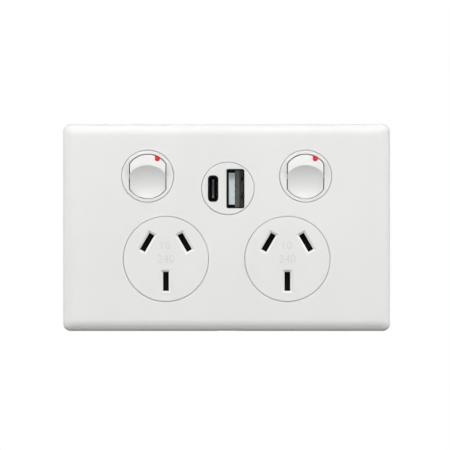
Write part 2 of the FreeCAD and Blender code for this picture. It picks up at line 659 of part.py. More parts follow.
def switch_module(side, name):
    """One switch: its moulded bezel, rocker, mark, plunger, spring and moving arm."""
    middle = size.switch_spread * side

    # The bezel sits in the frame's collar and carries the rocker's two bearings.
    bezel = new_body("switch_bezel_" + name)
    barrel = sketch_on(bezel, "XZ_Plane", size.ledge_height)
    circle(barrel, 0, 0, size.bezel_radius)
    pad(bezel, barrel, disc_face - size.ledge_height)
    window = sketch_on(bezel, "XZ_Plane", disc_face)
    flatted(window, size.window_radius, size.window_width / 2)
    opened = pocket(bezel, window, disc_face - size.ledge_height)

    def rim(edge):
        round_edge = isinstance(edge.Curve, Part.Circle)
        return at_height(disc_face)(edge) and round_edge and \
            abs(edge.Curve.Radius - number(size.bezel_radius)) < 1e-4
    break_edges(bezel, opened, rim, size.edge_break)
    bearings = sketch_on(bezel, "YZ_Plane")
    circle(bearings, -rocker_pivot, 0, size.trunnion_radius + size.bearing_gap)
    pocket(bezel, bearings, size.trunnion_reach * 2 + 0.2, both=True)
    hooks = sketch_on(bezel, "XZ_Plane", size.ledge_height + 0.5)
    hook_out = collar_radius - size.ledge_width - 0.15
    for way in (-1, 1):
        box(hooks, -1.5, 1.5, hook_out * way - 0.5 - 0.5 * way, hook_out * way + 0.5 - 0.5 * way)
    pad(bezel, hooks, size.ledge_height + 1.5, back=True)
    barbs = sketch_on(bezel, "YZ_Plane")
    for way in (-1, 1):
        tip = (hook_out + 0.55) * way
        outline(barbs, [(0.1, (hook_out - 0.4) * way), (0.1, tip), (0.4, tip),
                        (1, (hook_out - 0.4) * way)])
    pad(bezel, barbs, 3, both=True)
    place(bezel, middle, 0, size.switch_rise)

    # The rocker's long edges follow a ball about its pivot, so the gap stays even.
    rocker = new_body("rocker_" + name)
    blank = sketch_on(rocker, "XZ_Plane", -size.rocker_skirt)
    flatted(blank, size.rocker_edge, size.rocker_width / 2)
    pad(rocker, blank, size.rocker_skirt + 5)
    trim_ball(rocker)
    cut_cap(rocker, -size.dome_shift, -size.dome_depth, size.dome_radius, 1)
    scooped = cut_cap(rocker, -size.scoop_shift, size.scoop_height, size.scoop_radius, -1)

    def crest(edge):
        bounds = edge.BoundBox
        wide = bounds.XLength > number(size.rocker_width) * 0.9
        between = bounds.ZMin > 0.2 and bounds.ZMax < number(size.rocker_edge) * 0.75
        return wide and between and isinstance(edge.Curve, Part.Circle)
    break_edges(rocker, scooped, crest, size.crest_round, "PartDesign::Fillet")
    hollow = sketch_on(rocker, "XZ_Plane", -size.rocker_skirt)
    flatted(hollow, size.rocker_edge - 1.9, size.rocker_width / 2 - 1.3)
    pocket(rocker, hollow, size.rocker_skirt - 0.4, back=True)
    axle = sketch_on(rocker, "YZ_Plane")
    circle(axle, 0, 0, size.trunnion_radius)
    pad(rocker, axle, size.trunnion_reach * 2, both=True)
    stem = sketch_on(rocker, "XZ_Plane", -size.stem_length)
    circle(stem, 0, 0, size.stem_radius)
    pad(rocker, stem, size.stem_length - 0.1)
    bore = sketch_on(rocker, "XZ_Plane", -size.stem_length)
    circle(bore, 0, 0, size.spring_bore)
    pocket(rocker, bore, size.stem_length - size.bore_top, back=True)
    seat = sketch_on(rocker, "XZ_Plane", size.mark_floor)
    mark_outline(seat)
    pocket(rocker, seat, 4, back=True)

    mark = new_body("on_mark_" + name)
    tab = sketch_on(mark, "XZ_Plane", size.mark_floor)
    mark_outline(tab)
    pad(mark, tab, 3)
    trim_ball(mark)
    cut_cap(mark, -size.dome_shift, -size.dome_depth, size.dome_radius, 1)

    plunger = new_body("plunger_" + name)
    shape = sketch_on(plunger, "XY_Plane")
    ball = size.plunger_reach - size.plunger_radius
    shoulder_at = size.bore_top + size.spring_room
    pin_end = shoulder_at - size.plunger_pin_length
    outline(shape, [(0, pin_end), (size.plunger_pin, pin_end), (size.plunger_pin, shoulder_at),
                    (size.plunger_radius, shoulder_at), (size.plunger_radius, ball),
                    (0, size.plunger_reach)],
            {4: ((0, ball), size.plunger_radius)})
    turned(plunger, shape)

    spring = new_body("plunger_spring_" + name)
    wire = sketch_on(spring, "XY_Plane")
    circle(wire, size.spring_radius, size.bore_top + size.spring_wire + 0.02, size.spring_wire)
    coil = spring.newObject("PartDesign::AdditiveHelix", "coil_" + name)
    coil.Profile = wire
    coil.ReferenceAxis = (wire, ["V_Axis"])
    coil.Mode = "height-turns-angle"
    rise = shoulder_at - size.bore_top - size.spring_wire * 2 - 0.04
    coil.Height = number(rise)
    bind(coil, "Height", rise)
    coil.Turns = number(size.spring_turns)
    bind(coil, "Turns", size.spring_turns)

    for body in (rocker, mark, plunger, spring):
        place(body, middle, -rocker_pivot, size.switch_rise)
        tilt(body, size.rocker_tilt)

    # The moving arm see-saws on a round knife edge and carries a rivet at its upper end.
    arm = new_body("contact_arm_" + name)
    side_view = sketch_on(arm, "YZ_Plane")
    reach = size.arm_length
    groove = size.knife_radius + size.knife_gap
    outline(side_view, [(-arm_front, -reach), (-arm_front, reach), (arm_back, reach),
                        (arm_back, groove * 2.5), (groove * -0.1, groove * 0.995),
                        (groove * -0.1, groove * -0.995), (arm_back, groove * -2.5),
                        (arm_back, -reach)], {4: ((0, 0), groove)})
    pad(arm, side_view, size.arm_width, both=True)
    rivet = sketch_on(arm, "XZ_Plane", -arm_back)
    circle(rivet, 0, size.arm_contact, size.contact_radius)
    pad(arm, rivet, size.contact_height, back=True)
    head = sketch_on(arm, "XZ_Plane", arm_front)
    circle(head, 0, size.arm_contact, size.contact_radius * 0.75)
    pad(arm, head, size.contact_height / 2)
    place(arm, middle, -arm_pivot, size.switch_rise)
    tilt(arm, -size.arm_tilt)


for side, name in ((-1, "left"), (1, "right")):
    switch_module(side, name)


def clip(body, across, up, lean, level):
    """Two sprung leaves that meet a pin, standing on a bar at one level."""
    sketch = sketch_on(body, "XY_Plane", up, across, 0, lean)
    leaf = size.clip_leaf
    nip = size.clip_nip / 2
    root = size.clip_root
    mouth = size.clip_mouth
    throat = size.clip_mouth + size.clip_flare
    foot = level - 0.2
    leaves = [(-root - leaf, foot), (-root - leaf, level - 2), (-nip - leaf, throat),
              (-root - leaf, mouth), (-root, mouth), (-nip, throat), (-root, level - 2),
              (-root, foot)]
    outline(sketch, leaves)
    outline(sketch, [(-aside, depth) for aside, depth in reversed(leaves)])
    pad(body, sketch, size.clip_width, both=True)
    bind(sketch, "AttachmentOffset.Rotation.Angle", lean)


bar = size.bar_thickness
spread = size.terminal_spread
drop = -size.terminal_drop
width = size.bar_width / 2
block_top = active_level

# Earth bar: one strip behind both earth slots, with a foot on the middle terminal.
earth = new_body("earth_bar")
strip = sketch_on(earth, "XZ_Plane", -size.earth_level)
end = size.socket_spread + 2.6
outline(strip, [(-end, earth_up - width), (end, earth_up - width), (end, earth_up + width),
                (-end, earth_up + width)])
pad(earth, strip, bar)
foot = sketch_on(earth, "XZ_Plane", -block_top)
box(foot, -width, width, earth_up - bar / 2, earth_up + bar / 2)
pad(earth, foot, block_top - size.earth_level + bar / 2)
for side in (-1, 1):
    across, up, lean = pins(side)[2]
    clip(earth, across, up, lean, size.earth_level - bar + 0.2)

# Neutral bar: behind both neutral slots, with a leg down to the right terminal.
neutral = new_body("neutral_bar")
strip = sketch_on(neutral, "XZ_Plane", -neutral_level)
first = pins(-1)[1][0] - 2.8
last = pins(1)[1][0] + 2.8
outline(strip, [(first, live_up - width), (spread - width, live_up - width),
                (spread - width, drop - 1.2), (spread + width, drop - 1.2),
                (spread + width, live_up - width), (last, live_up - width),
                (last, live_up + width), (first, live_up + width)])
pad(neutral, strip, bar)
foot = sketch_on(neutral, "XZ_Plane", -block_top)
box(foot, spread - width, spread + width, drop - bar / 2, drop + bar / 2)
pad(neutral, foot, block_top - neutral_level + bar / 2)
for side in (-1, 1):
    across, up, lean = pins(side)[1]
    clip(neutral, across, up, lean, neutral_level - bar + 0.2)

# Active bar: from the left terminal to the knife edges under both moving arms.
active = new_body("active_bar")
strip = sketch_on(active, "XZ_Plane", -active_level)
out = size.switch_spread
arm = size.arm_width / 2
rail_high = usb_rise - size.case_half - size.rail_gap
rail_low = rail_high - size.rail_width
rail_up = rail_high - size.rail_width / 2
top = size.switch_rise + bar / 2
outline(strip, [(-out - arm, rail_low), (-spread - width, rail_low),
                (-spread - width, drop - 1.2), (width - spread, drop - 1.2),
                (width - spread, rail_low), (out + arm, rail_low), (out + arm, top),
                (out - arm, top), (out - arm, rail_high), (arm - out, rail_high),
                (arm - out, top), (-out - arm, top)])
pad(active, strip, bar)
for side in (-1, 1):
    knife = sketch_on(active, "YZ_Plane", out * side)
    blade = size.knife_radius
    rise = size.switch_rise
    outline(knife, [(active_level, rise - bar / 2), (active_level, rise + bar / 2),
                    (size.knife_height - arm_pivot, rise + bar / 2),
                    (blade * -0.1 - arm_pivot, rise + blade * 0.995),
                    (blade * -0.1 - arm_pivot, rise - blade * 0.995),
                    (size.knife_height - arm_pivot, rise - bar / 2)],
            {3: ((-arm_pivot, rise), blade)})
    pad(active, knife, size.arm_width, both=True)

# Switched contacts: each joins one active clip to the fixed rivet behind an arm's end.
arm_end = size.arm_contact * sine(size.arm_tilt)
rivet_tip = (arm_back + size.contact_height) * cosine(size.arm_tilt)
rivet_edge = size.contact_radius * sine(size.arm_tilt)
fixed_tip = rivet_tip + arm_end + rivet_edge + size.contact_gap - arm_pivot
fixed_flap = fixed_tip + size.contact_height
fixed_up = size.switch_rise + size.arm_contact
riser = fixed_up + 2.7
left_lane = size.housing_wall + size.lane_gap - housing_half
right_lane = size.usb_shift + size.case_half + size.lane_gap + 0.3
lane_width = 2.8
for side, name in ((-1, "left"), (1, "right")):
    across, up, lean = pins(side)[0]
    out = size.switch_spread * side
    fixed = new_body("switched_contact_" + name)
    strip = sketch_on(fixed, "XZ_Plane", -size.earth_level)
    low = live_up - 3.4
    high = live_up + 3.4
    if side < 0:
        inner = left_lane + lane_width
        outline(strip, [(left_lane, low), (across + 3.6, low), (across + 3.6, high),
                        (inner, high), (inner, riser - lane_width),
                        (out + arm, riser - lane_width), (out + arm, riser),
                        (left_lane, riser)])
    else:
        turn_up = size.switch_rise + 2
        inner = right_lane + lane_width
        outline(strip, [(right_lane, low), (across + 3.8, low), (across + 3.8, high),
                        (inner, high), (inner, turn_up), (out + arm, turn_up),
                        (out + arm, riser), (out - arm, riser),
                        (out - arm, turn_up + lane_width), (right_lane, turn_up + lane_width)])
    pad(fixed, strip, bar)
    bracket = sketch_on(fixed, "YZ_Plane", out)
    outline(bracket, [(size.earth_level - bar / 2, riser - bar),
                      (size.earth_level - bar / 2, riser), (fixed_flap, riser),
                      (fixed_flap, fixed_up - 1.8), (fixed_flap + bar, fixed_up - 1.8),
                      (fixed_flap + bar, riser - bar)])
    pad(fixed, bracket, size.arm_width, both=True)
    rivet = sketch_on(fixed, "XZ_Plane", -fixed_flap, out)
    circle(rivet, 0, fixed_up, size.contact_radius)
    pad(fixed, rivet, size.contact_height)
    clip(fixed, across, up, lean, size.earth_level - bar + 0.2)

# Terminals: brass blocks with a wire tunnel along Z and a clamping screw from behind.
for name, place_across in (("active", -spread), ("earth", spread * 0), ("neutral", spread)):
    block = new_body("terminal_" + name)
    sketch = sketch_on(block, "XZ_Plane", -block_top - size.terminal_height)
    half = size.terminal_width / 2
    rounded(sketch, -half, half, size.terminal_length / -2, size.terminal_length / 2, 0.6)
    pad(block, sketch, size.terminal_height)
    tunnel = sketch_on(block, "XY_Plane", size.terminal_length / -2 - 1)
    circle(tunnel, 0, block_top + size.tunnel_depth, size.tunnel_radius)
    pocket(block, tunnel, size.terminal_length + 2, back=True)
    thread = sketch_on(block, "XZ_Plane", -block_top - size.terminal_height)
    circle(thread, 0, 0, size.terminal_screw_radius + size.screw_gap)
    pocket(block, thread, size.terminal_height - size.tunnel_depth, back=True)
    place(block, place_across, 0, drop)

    # The screw is backed out, with its tip just clear of the wire tunnel.
    screw = new_body("terminal_screw_" + name)
    tip = block_top + size.tunnel_depth + size.tunnel_radius + 0.1
    shank = sketch_on(screw, "XZ_Plane", -tip - size.terminal_screw_length)
    circle(shank, 0, 0, size.terminal_screw_radius)
    pad(screw, shank, size.terminal_screw_length)
    drive = sketch_on(screw, "XZ_Plane", -tip - size.terminal_screw_length)
    slit = size.terminal_screw_radius * 0.2
    box(drive, size.terminal_screw_radius * -1.5, size.terminal_screw_radius * 1.5,
        -slit, slit)
    pocket(screw, drive, slit * 3, back=True)
    place(screw, place_across, 0, drop)


# Rear housing: a deep tub behind the frame with four screw posts.
tub = new_body("rear_housing")
shell = sketch_on(tub, "XZ_Plane", -housing_depth)
rounded(shell, -housing_half, housing_half, -housing_bottom, housing_top, size.housing_corner)
blank = pad(tub, shell, housing_depth)
break_edges(tub, blank, at_height(-housing_depth), size.housing_bevel)
wall = size.housing_wall
inside = sketch_on(tub, "XZ_Plane")
rounded(inside, wall - housing_half, housing_half - wall,
        wall - housing_bottom, housing_top - wall, size.housing_corner - wall)
pocket(tub, inside, housing_depth - wall)
tub_floor = wall - housing_depth
posts = sketch_on(tub, "XZ_Plane", tub_floor - 0.1)
for spot in screw_spots:
    circle(posts, spot[0], spot[1], size.screw_post)
pad(tub, posts, 0.1 - tub_floor)
guard_half = spread * 1.5 + size.cheek_thickness / 2 + 0.1
guard_top = active_level - size.guard_rise
gate = sketch_on(tub, "XY_Plane", -housing_bottom - 1)
box(gate, -guard_half, guard_half, guard_top, -tub_floor)
pocket(tub, gate, wall + 1, back=True)
access = sketch_on(tub, "XZ_Plane", -housing_depth)
for place_across in (-spread, spread * 0, spread):
    circle(access, place_across, drop, size.access_radius)
pocket(tub, access, wall, back=True)
bores = sketch_on(tub, "XZ_Plane")
for spot in screw_spots:
    circle(bores, spot[0], spot[1], size.screw_radius + size.screw_gap)
pocket(tub, bores, housing_depth)
sinks = sketch_on(tub, "XZ_Plane", -housing_depth)
screw_seat = housing_depth - size.screw_head_height - 0.6
for spot in screw_spots:
    circle(sinks, spot[0], spot[1], size.screw_head + 0.1)
pocket(tub, sinks, housing_depth - screw_seat, back=True)

# Wire guard: a plate with three round entries that closes the gate in the tub's lower wall.
guard = new_body("wire_guard")
plate = sketch_on(guard, "XY_Plane", -housing_bottom)
gap = size.guard_gap
box(plate, gap - guard_half, guard_half - gap, guard_top + gap, -tub_floor)
pad(guard, plate, wall)
lip = sketch_on(guard, "XY_Plane", wall - housing_bottom)
reach = guard_half + size.cheek_thickness
box(lip, -reach, reach, guard_top - size.cheek_thickness, -tub_floor)
pad(guard, lip, size.guard_lip)
entries = sketch_on(guard, "XY_Plane", -housing_bottom)
for place_across in (-spread, spread * 0, spread):
    circle(entries, place_across, block_top + size.tunnel_depth, size.tunnel_radius + 0.6)
pocket(guard, entries, wall + size.guard_lip, back=True)

# Contact carrier: a thin tray on the tub's floor that props the bars and parts the terminals.
carrier = new_body("contact_carrier")
tray = sketch_on(carrier, "XZ_Plane", tub_floor)
inset = wall + size.carrier_gap
carrier_top = size.switch_rise * 0.64 + size.post_radius * 2
rounded(tray, inset - housing_half, housing_half - inset, inset - housing_bottom,
        carrier_top, 1)
pad(carrier, tray, size.carrier_thickness)
tray_top = tub_floor + size.carrier_thickness
cheeks = sketch_on(carrier, "XZ_Plane", tray_top - 0.1)
half = size.cheek_thickness / 2
for place_across in (spread * -1.5, spread * -0.5, spread * 0.5, spread * 1.5):
    box(cheeks, place_across - half, place_across + half,
        drop - size.terminal_length / 2 - 0.3, drop + size.terminal_length / 2 + 1)
pad(carrier, cheeks, -tray_top - block_top - 0.4)
for level, spots in (
        (size.earth_level, ((size.socket_spread * -0.72, earth_up),
                            (size.socket_spread * 0.72, earth_up),
                            (left_lane + lane_width / 2, size.switch_rise * 0.64),
                            (right_lane + lane_width / 2, size.switch_rise * 0.64))),
        (neutral_level, ((pins(-1)[1][0], live_up), (size.socket_spread + 2.8, live_up))),
        (active_level, ((size.socket_spread * -0.8, rail_up),
                        (size.socket_spread * 0.27, rail_up),
                        (size.socket_spread, rail_up)))):
    props = sketch_on(carrier, "XZ_Plane", tray_top - 0.1)
    for spot in spots:
        circle(props, spot[0], spot[1], size.post_radius)
    pad(carrier, props, 0.1 - tray_top - level)
windows = sketch_on(carrier, "XZ_Plane", tub_floor)
for place_across in (-spread, spread * 0, spread):
    circle(windows, place_across, drop, size.access_radius)
for spot in screw_spots:
    if number(spot[1]) < 0:
        circle(windows, spot[0], spot[1], size.screw_post + 0.15)
pocket(carrier, windows, size.carrier_thickness, back=True)

for index, spot in enumerate(screw_spots, start=1):
    screw = new_body("housing_screw_%d" % index)
    head = sketch_on(screw, "XZ_Plane", -screw_seat - size.screw_head_height)
    circle(head, 0, 0, size.screw_head)
    pad(screw, head, size.screw_head_height)
    shank = sketch_on(screw, "XZ_Plane", -screw_seat)
    circle(shank, 0, 0, size.screw_radius)
    pad(screw, shank, screw_seat + size.screw_bite - 0.5)
    cross = sketch_on(screw, "XZ_Plane", -screw_seat - size.screw_head_height)
    cross_arm = size.screw_head * 0.6
    slit = size.screw_head * 0.14
    outline(cross, [(-slit, -cross_arm), (slit, -cross_arm), (slit, -slit), (cross_arm, -slit),
                    (cross_arm, slit), (slit, slit), (slit, cross_arm), (-slit, cross_arm),
                    (-slit, slit), (-cross_arm, slit), (-cross_arm, -slit), (-slit, -slit)])
    pocket(screw, cross, size.screw_head_height * 0.64, back=True)
    place(screw, spot[0], 0, spot[1])


# USB module: a round front with two ports on the lid of a sealed supply case.
power_board_level = size.board_level + size.board_thickness + size.board_spacing
case_depth = (power_board_level + size.board_thickness + size.board_room
              + size.case_wall)
usb = new_body("usb_front")
lid = sketch_on(usb, "XZ_Plane", -size.lid_thickness)
rounded(lid, -size.case_half, size.case_half, -size.case_half, size.case_half,
        size.case_corner)
pad(usb, lid, size.lid_thickness)
snout = sketch_on(usb, "XZ_Plane", -size.lid_thickness)
circle(snout, 0, 0, size.usb_radius)
pad(usb, snout, disc_face + size.lid_thickness)
ports = sketch_on(usb, "XZ_Plane", disc_face)
a_left = size.usb_a_shift - size.usb_a_width / 2
a_right = size.usb_a_shift + size.usb_a_width / 2
rounded(ports, a_left, a_right, size.usb_a_height / -2, size.usb_a_height / 2, 0.6)
c_left = -size.usb_c_shift - size.usb_c_width / 2
c_right = size.usb_c_width / 2 - size.usb_c_shift
rounded(ports, c_left, c_right, size.usb_c_height / -2, size.usb_c_height / 2,
        size.usb_c_width * 0.36)
windowed = pocket(usb, ports, disc_face + size.lid_thickness)


def usb_rim(edge):
    """The outer round edge of the module's face."""
    if not (at_height(disc_face)(edge) and isinstance(edge.Curve, Part.Circle)):
        return False
    return abs(edge.Curve.Radius - number(size.usb_radius)) < 1e-4


break_edges(usb, windowed, usb_rim, size.edge_break)
place(usb, size.usb_shift, 0, usb_rise)

port_front = disc_face - size.port_recess
port_back = -size.board_level
for name, left, right, half, corner in (
        ("a", a_left, a_right, size.usb_a_height / 2, 0.8),
        ("c", c_left, c_right, size.usb_c_height / 2, size.usb_c_width * 0.34)):
    tube = new_body("usb_%s_shell" % name)
    outer = sketch_on(tube, "XZ_Plane", port_back)
    gap = size.shell_gap
    rounded(outer, left + gap, right - gap, gap - half, half - gap, corner)
    pad(tube, outer, port_front - port_back)
    inner = sketch_on(tube, "XZ_Plane", port_front)
    gap = size.shell_gap + size.shell_wall
    rounded(inner, left + gap, right - gap, gap - half, half - gap, corner - size.shell_wall)
    pocket(tube, inner, port_front - port_back - size.shell_wall)
    place(tube, size.usb_shift, 0, usb_rise)

tongue_left = a_left + size.tongue_side
tongue_right = tongue_left + size.tongue_width
tongue_front = port_front - size.tongue_sink
for name, left, right, half, front in (
        ("a", tongue_left, tongue_right, size.tongue_height / 2, tongue_front),
        ("c", size.blade_thickness / -2 - size.usb_c_shift,
         size.blade_thickness / 2 - size.usb_c_shift, size.blade_height / 2,
         port_front - size.blade_sink)):
    tongue = new_body("usb_%s_tongue" % name)
    blade = sketch_on(tongue, "XZ_Plane", port_back + size.shell_wall)
    box(blade, left, right, -half, half)
    pad(tongue, blade, front - port_back - size.shell_wall)
    place(tongue, size.usb_shift, 0, usb_rise)

pins_a = new_body("usb_a_contacts")
comb = sketch_on(pins_a, "XZ_Plane", port_back + size.shell_wall)
for share in (-0.3, -0.09, 0.09, 0.3):
    up = size.tongue_height * share
    box(comb, tongue_right, tongue_right + size.strip_thickness,
        up - size.strip_width / 2, up + size.strip_width / 2)
pad(pins_a, comb, tongue_front - size.strip_sink - port_back - size.shell_wall)
place(pins_a, size.usb_shift, 0, usb_rise)

case = new_body("usb_case")
shell = sketch_on(case, "XZ_Plane", -case_depth)
rounded(shell, -size.case_half, size.case_half, -size.case_half, size.case_half,
        size.case_corner)
pad(case, shell, case_depth - size.lid_thickness)
inside = sketch_on(case, "XZ_Plane", -size.lid_thickness)
inner = size.case_half - size.case_wall
rounded(inside, -inner, inner, -inner, inner, 0.6)
pocket(case, inside, case_depth - size.lid_thickness - size.case_wall)
props = sketch_on(case, "XZ_Plane", -case_depth + size.case_wall - 0.1)
for across in (-1, 1):
    for up in (-1, 1):
        box(props, inner * across - 1 - across, inner * across + 1 - across,
            inner * up - 1 - up, inner * up + 1 - up)
pad(case, props, case_depth - size.case_wall - power_board_level
    - size.board_thickness + 0.1)
place(case, size.usb_shift, 0, usb_rise)

for name, level in (("usb_port_board", size.board_level),
                    ("usb_power_board", power_board_level)):
    board = new_body(name)
    sheet_outline = sketch_on(board, "XZ_Plane", -level - size.board_thickness)
    box(sheet_outline, 0.2 - inner, inner - 0.2, 0.2 - inner, inner - 0.2)
    pad(board, sheet_outline, size.board_thickness)
    place(board, size.usb_shift, 0, usb_rise)

gap_low = power_board_level
gap_high = size.board_level + size.board_thickness
header = new_body("usb_board_pins")
pins_row = sketch_on(header, "XZ_Plane", -gap_low)
for across in (-1, 1):
    for up in (-1, 1):
        box(pins_row, inner * across - 0.4 - 1.4 * across, inner * across + 0.4 - 1.4 * across,
            inner * up - 0.4 - 1.4 * up, inner * up + 0.4 - 1.4 * up)
pad(header, pins_row, gap_low - gap_high)
place(header, size.usb_shift, 0, usb_rise)

can_middle = inner - size.can_room - size.can_radius
core_left = size.core_room - inner
core_right = can_middle - size.can_radius - size.can_gap
core = new_body("usb_transformer")
core_outline = sketch_on(core, "XZ_Plane", -gap_low)
box(core_outline, core_left, core_right, -size.core_drop - size.core_height / 2,
    size.core_height / 2 - size.core_drop)
pad(core, core_outline, size.core_depth)
winding = sketch_on(core, "XZ_Plane", (size.core_depth - size.winding_depth) / 2 - gap_low)
rounded(winding, core_left + size.winding_inset, core_right - size.winding_inset,
        -size.core_drop - size.winding_height / 2, size.winding_height / 2 - size.core_drop, 2)
pad(core, winding, size.winding_depth)
place(core, size.usb_shift, 0, usb_rise)

for name, up, share in (("large", -size.can_drop, 1), ("small", size.can_drop, 0.8)):
    can = new_body("usb_capacitor_" + name)
    round_can = sketch_on(can, "XZ_Plane", -gap_low)
    circle(round_can, can_middle, up, size.can_radius * share)
    pad(can, round_can, size.can_height * share)
    place(can, size.usb_shift, 0, usb_rise)

doc.recompute()

for item in doc.Objects:
    if "Invalid" in item.State or "Error" in item.State:
        raise RuntimeError("%s could not be built: %s" % (item.Name, item.State))
for body in BODIES:
    if body.Shape.isNull() or not body.Shape.isValid() or not body.Shape.Solids:
        raise RuntimeError("%s is not a valid solid" % body.Label)
for body in BODIES:
    body.Shape.exportStep(os.path.join("parts", body.Label + ".step"))
    print("%-24s solids %d  volume %9.1f  faces %d" % (
        body.Label, len(body.Shape.Solids), body.Shape.Volume, len(body.Shape.Faces)))
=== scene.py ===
import json
import math

import bmesh
import bpy
from bpy.props import FloatProperty, FloatVectorProperty, PointerProperty
from mathutils import Matrix, Vector


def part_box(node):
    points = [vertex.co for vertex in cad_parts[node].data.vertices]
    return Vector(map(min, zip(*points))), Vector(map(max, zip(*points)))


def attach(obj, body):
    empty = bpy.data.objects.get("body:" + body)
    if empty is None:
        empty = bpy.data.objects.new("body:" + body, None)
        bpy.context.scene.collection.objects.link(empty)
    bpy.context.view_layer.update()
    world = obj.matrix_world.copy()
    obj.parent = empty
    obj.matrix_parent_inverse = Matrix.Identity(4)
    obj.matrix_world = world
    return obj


bl_info = {
    "name": "Switched Wall Socket",
    "version": (1, 0, 0),
    "blender": (4, 5, 0),
    "location": "3D View > Sidebar > Wall Socket",
    "description": "Finishes a switched wall socket with USB ports and sets its studio",
    "category": "Object",
}

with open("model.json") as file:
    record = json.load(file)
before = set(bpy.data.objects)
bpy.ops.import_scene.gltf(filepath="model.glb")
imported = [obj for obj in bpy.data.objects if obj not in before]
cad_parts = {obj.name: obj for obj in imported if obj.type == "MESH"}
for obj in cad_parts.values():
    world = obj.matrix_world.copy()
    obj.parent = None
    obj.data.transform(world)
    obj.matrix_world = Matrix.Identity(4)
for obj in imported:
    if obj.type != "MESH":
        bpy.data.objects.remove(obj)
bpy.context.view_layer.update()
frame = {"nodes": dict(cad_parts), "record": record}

WHITE_MOULDINGS = ("cover_plate", "mounting_frame", "switch_bezel_left",
                   "switch_bezel_right", "rocker_left", "rocker_right", "usb_front")
DARK_MOULDINGS = ("rear_housing", "wire_guard")
BLACK_MOULDINGS = ("contact_carrier", "usb_case", "plunger_left", "plunger_right")
MARKS = ("on_mark_left", "on_mark_right")
PRESSED_BRASS = ("earth_bar", "neutral_bar", "active_bar", "switched_contact_left",
                 "switched_contact_right", "contact_arm_left", "contact_arm_right")
TURNED_BRASS = ("terminal_active", "terminal_earth", "terminal_neutral",
                "terminal_screw_active", "terminal_screw_earth", "terminal_screw_neutral")
ZINC_STEEL = ("housing_screw_1", "housing_screw_2", "housing_screw_3", "housing_screw_4",
              "plunger_spring_left", "plunger_spring_right")
SHELLS = ("usb_a_shell", "usb_c_shell")
BOARDS = ("usb_port_board", "usb_power_board")
CANS = ("usb_capacitor_large", "usb_capacitor_small")

USB_LOW, USB_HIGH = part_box("usb_front")
USB_CENTRE = (USB_LOW + USB_HIGH) / 2
# The plane of the USB face and of both outlet faces.
FACE = USB_LOW.y
OUTLETS = {mount["name"]: Vector(mount["pos_m"]) for mount in frame["record"]["mounts"]
           if mount["name"].startswith("outlet_")}
# Where the ball that hollows each rocker closes on its axis. The loaded normals lean
# the wrong way there, out to SCOOP_REACH.
SCOOP_POLES = ((-0.02885, -0.007756, 0.014984), (0.02885, -0.007756, 0.014984))
SCOOP_REACH = 0.00088

# Height of the upper line of digits above an outlet's centre.
LINE_RISE = 0.0029
# Thickness of a shutter flap, the fall of its sloped end and the rounding of its edges.
FLAP_THICKNESS, FLAP_FALL, FLAP_ROUNDING = 0.0016, 0.0009, 0.00012
# Springs of a port: their distance apart, width as a share of the spring width, length
# into the port, bow, and the walls that have them.
PORT_SPRINGS = (("usb_a", 0.0065, 2.0, 0.004, 0.0007, (1,)),
                ("usb_c", 0.0038, 0.5, 0.002, 0.0003, (1, -1)))
SPRING_THICKNESS = 0.00012
# How far behind the mouth a spring starts, and how far inside the shell's outer face.
SPRING_START, SPRING_INSET = 0.0012, 0.00032
TERMINAL_LETTERS = (("A", "terminal_active"), ("E", "terminal_earth"),
                    ("N", "terminal_neutral"))
# Thickness of a terminal letter and its distance from the terminal's top.
LETTER_THICKNESS, LETTER_GAP = 0.0004, 0.0008

FLOOR_HALF, FLOOR_LEVEL = 0.6, -0.1
# The floor shows paler to the camera: by FLOOR_GLOW up to the first distance from the
# middle, and as the background from the second on.
FLOOR_GLOW, FLOOR_FADE = 0.62, (0.16, 0.34)
# Name, place, width, height, power in watts and spread in degrees.
LAMPS = (("key", (0.0, -0.54, 0.8), 1.5, 0.25, 8.2, 180),
         ("side_left", (-0.95, -0.5, 0.2), 0.4, 0.6, 5.1, 180),
         ("side_right", (0.95, -0.5, 0.2), 0.4, 0.6, 5.1, 180),
         ("front", (0.0, -1.6, 0.1), 1.2, 0.6, 0.7, 180),
         ("back", (0.0, 1.45, 0.05), 0.5, 0.4, 0.32, 30))
# The sky lights the object by SKY_STRENGTH from its top, and less towards its low end.
SKY_SPAN, SKY_STRENGTH = (-0.6, 0.8), 0.1
CAMERA_PLACE = (-0.0006, -2.0, 0.0009)
CAMERA_LENS, CAMERA_SENSOR = 435.9, 36.0


def length(name, description, default):
    """A size in metres that the user may change."""
    return FloatProperty(name=name, description=description, default=default, min=0.0,
                         precision=5, unit="LENGTH")


def tint(name, description, default):
    """A colour that the user may change."""
    return FloatVectorProperty(name=name, description=description, default=default,
                               subtype="COLOR", min=0.0, max=1.0)


class SocketSizes(bpy.types.PropertyGroup):
    """Sizes of the small pieces that the scene adds."""

    digit_height: length("Digit height", "Height of the raised digits on the outlets",
                         0.00285)
    digit_rise: length("Digit rise", "How far the digits stand out of the face", 0.00012)
    line_gap: length("Line gap", "Distance between the two lines of digits", 0.005)
    letter_height: length("Letter height", "Height of the raised terminal letters",
                          0.0028)
    live_radius: length("Live slot radius", "From the slots' centre to a live slot",
                        0.00792)
    earth_radius: length("Earth slot radius", "From the slots' centre to the earth slot",
                         0.01031)
    slot_angle: FloatProperty(name="Slot angle",
                              description="Turn of a live slot's centre from upright",
                              default=math.radians(60), subtype="ANGLE")
    shutter_depth: length("Shutter depth", "From an outlet's face to its shutters",
                          0.0026)
    shutter_length: length("Shutter length", "Length of one shutter flap", 0.00696)
    shutter_width: length("Shutter width", "Width of one shutter flap", 0.00207)
    spring_width: length("Spring width", "Width of a leaf spring in a port", 0.0012)


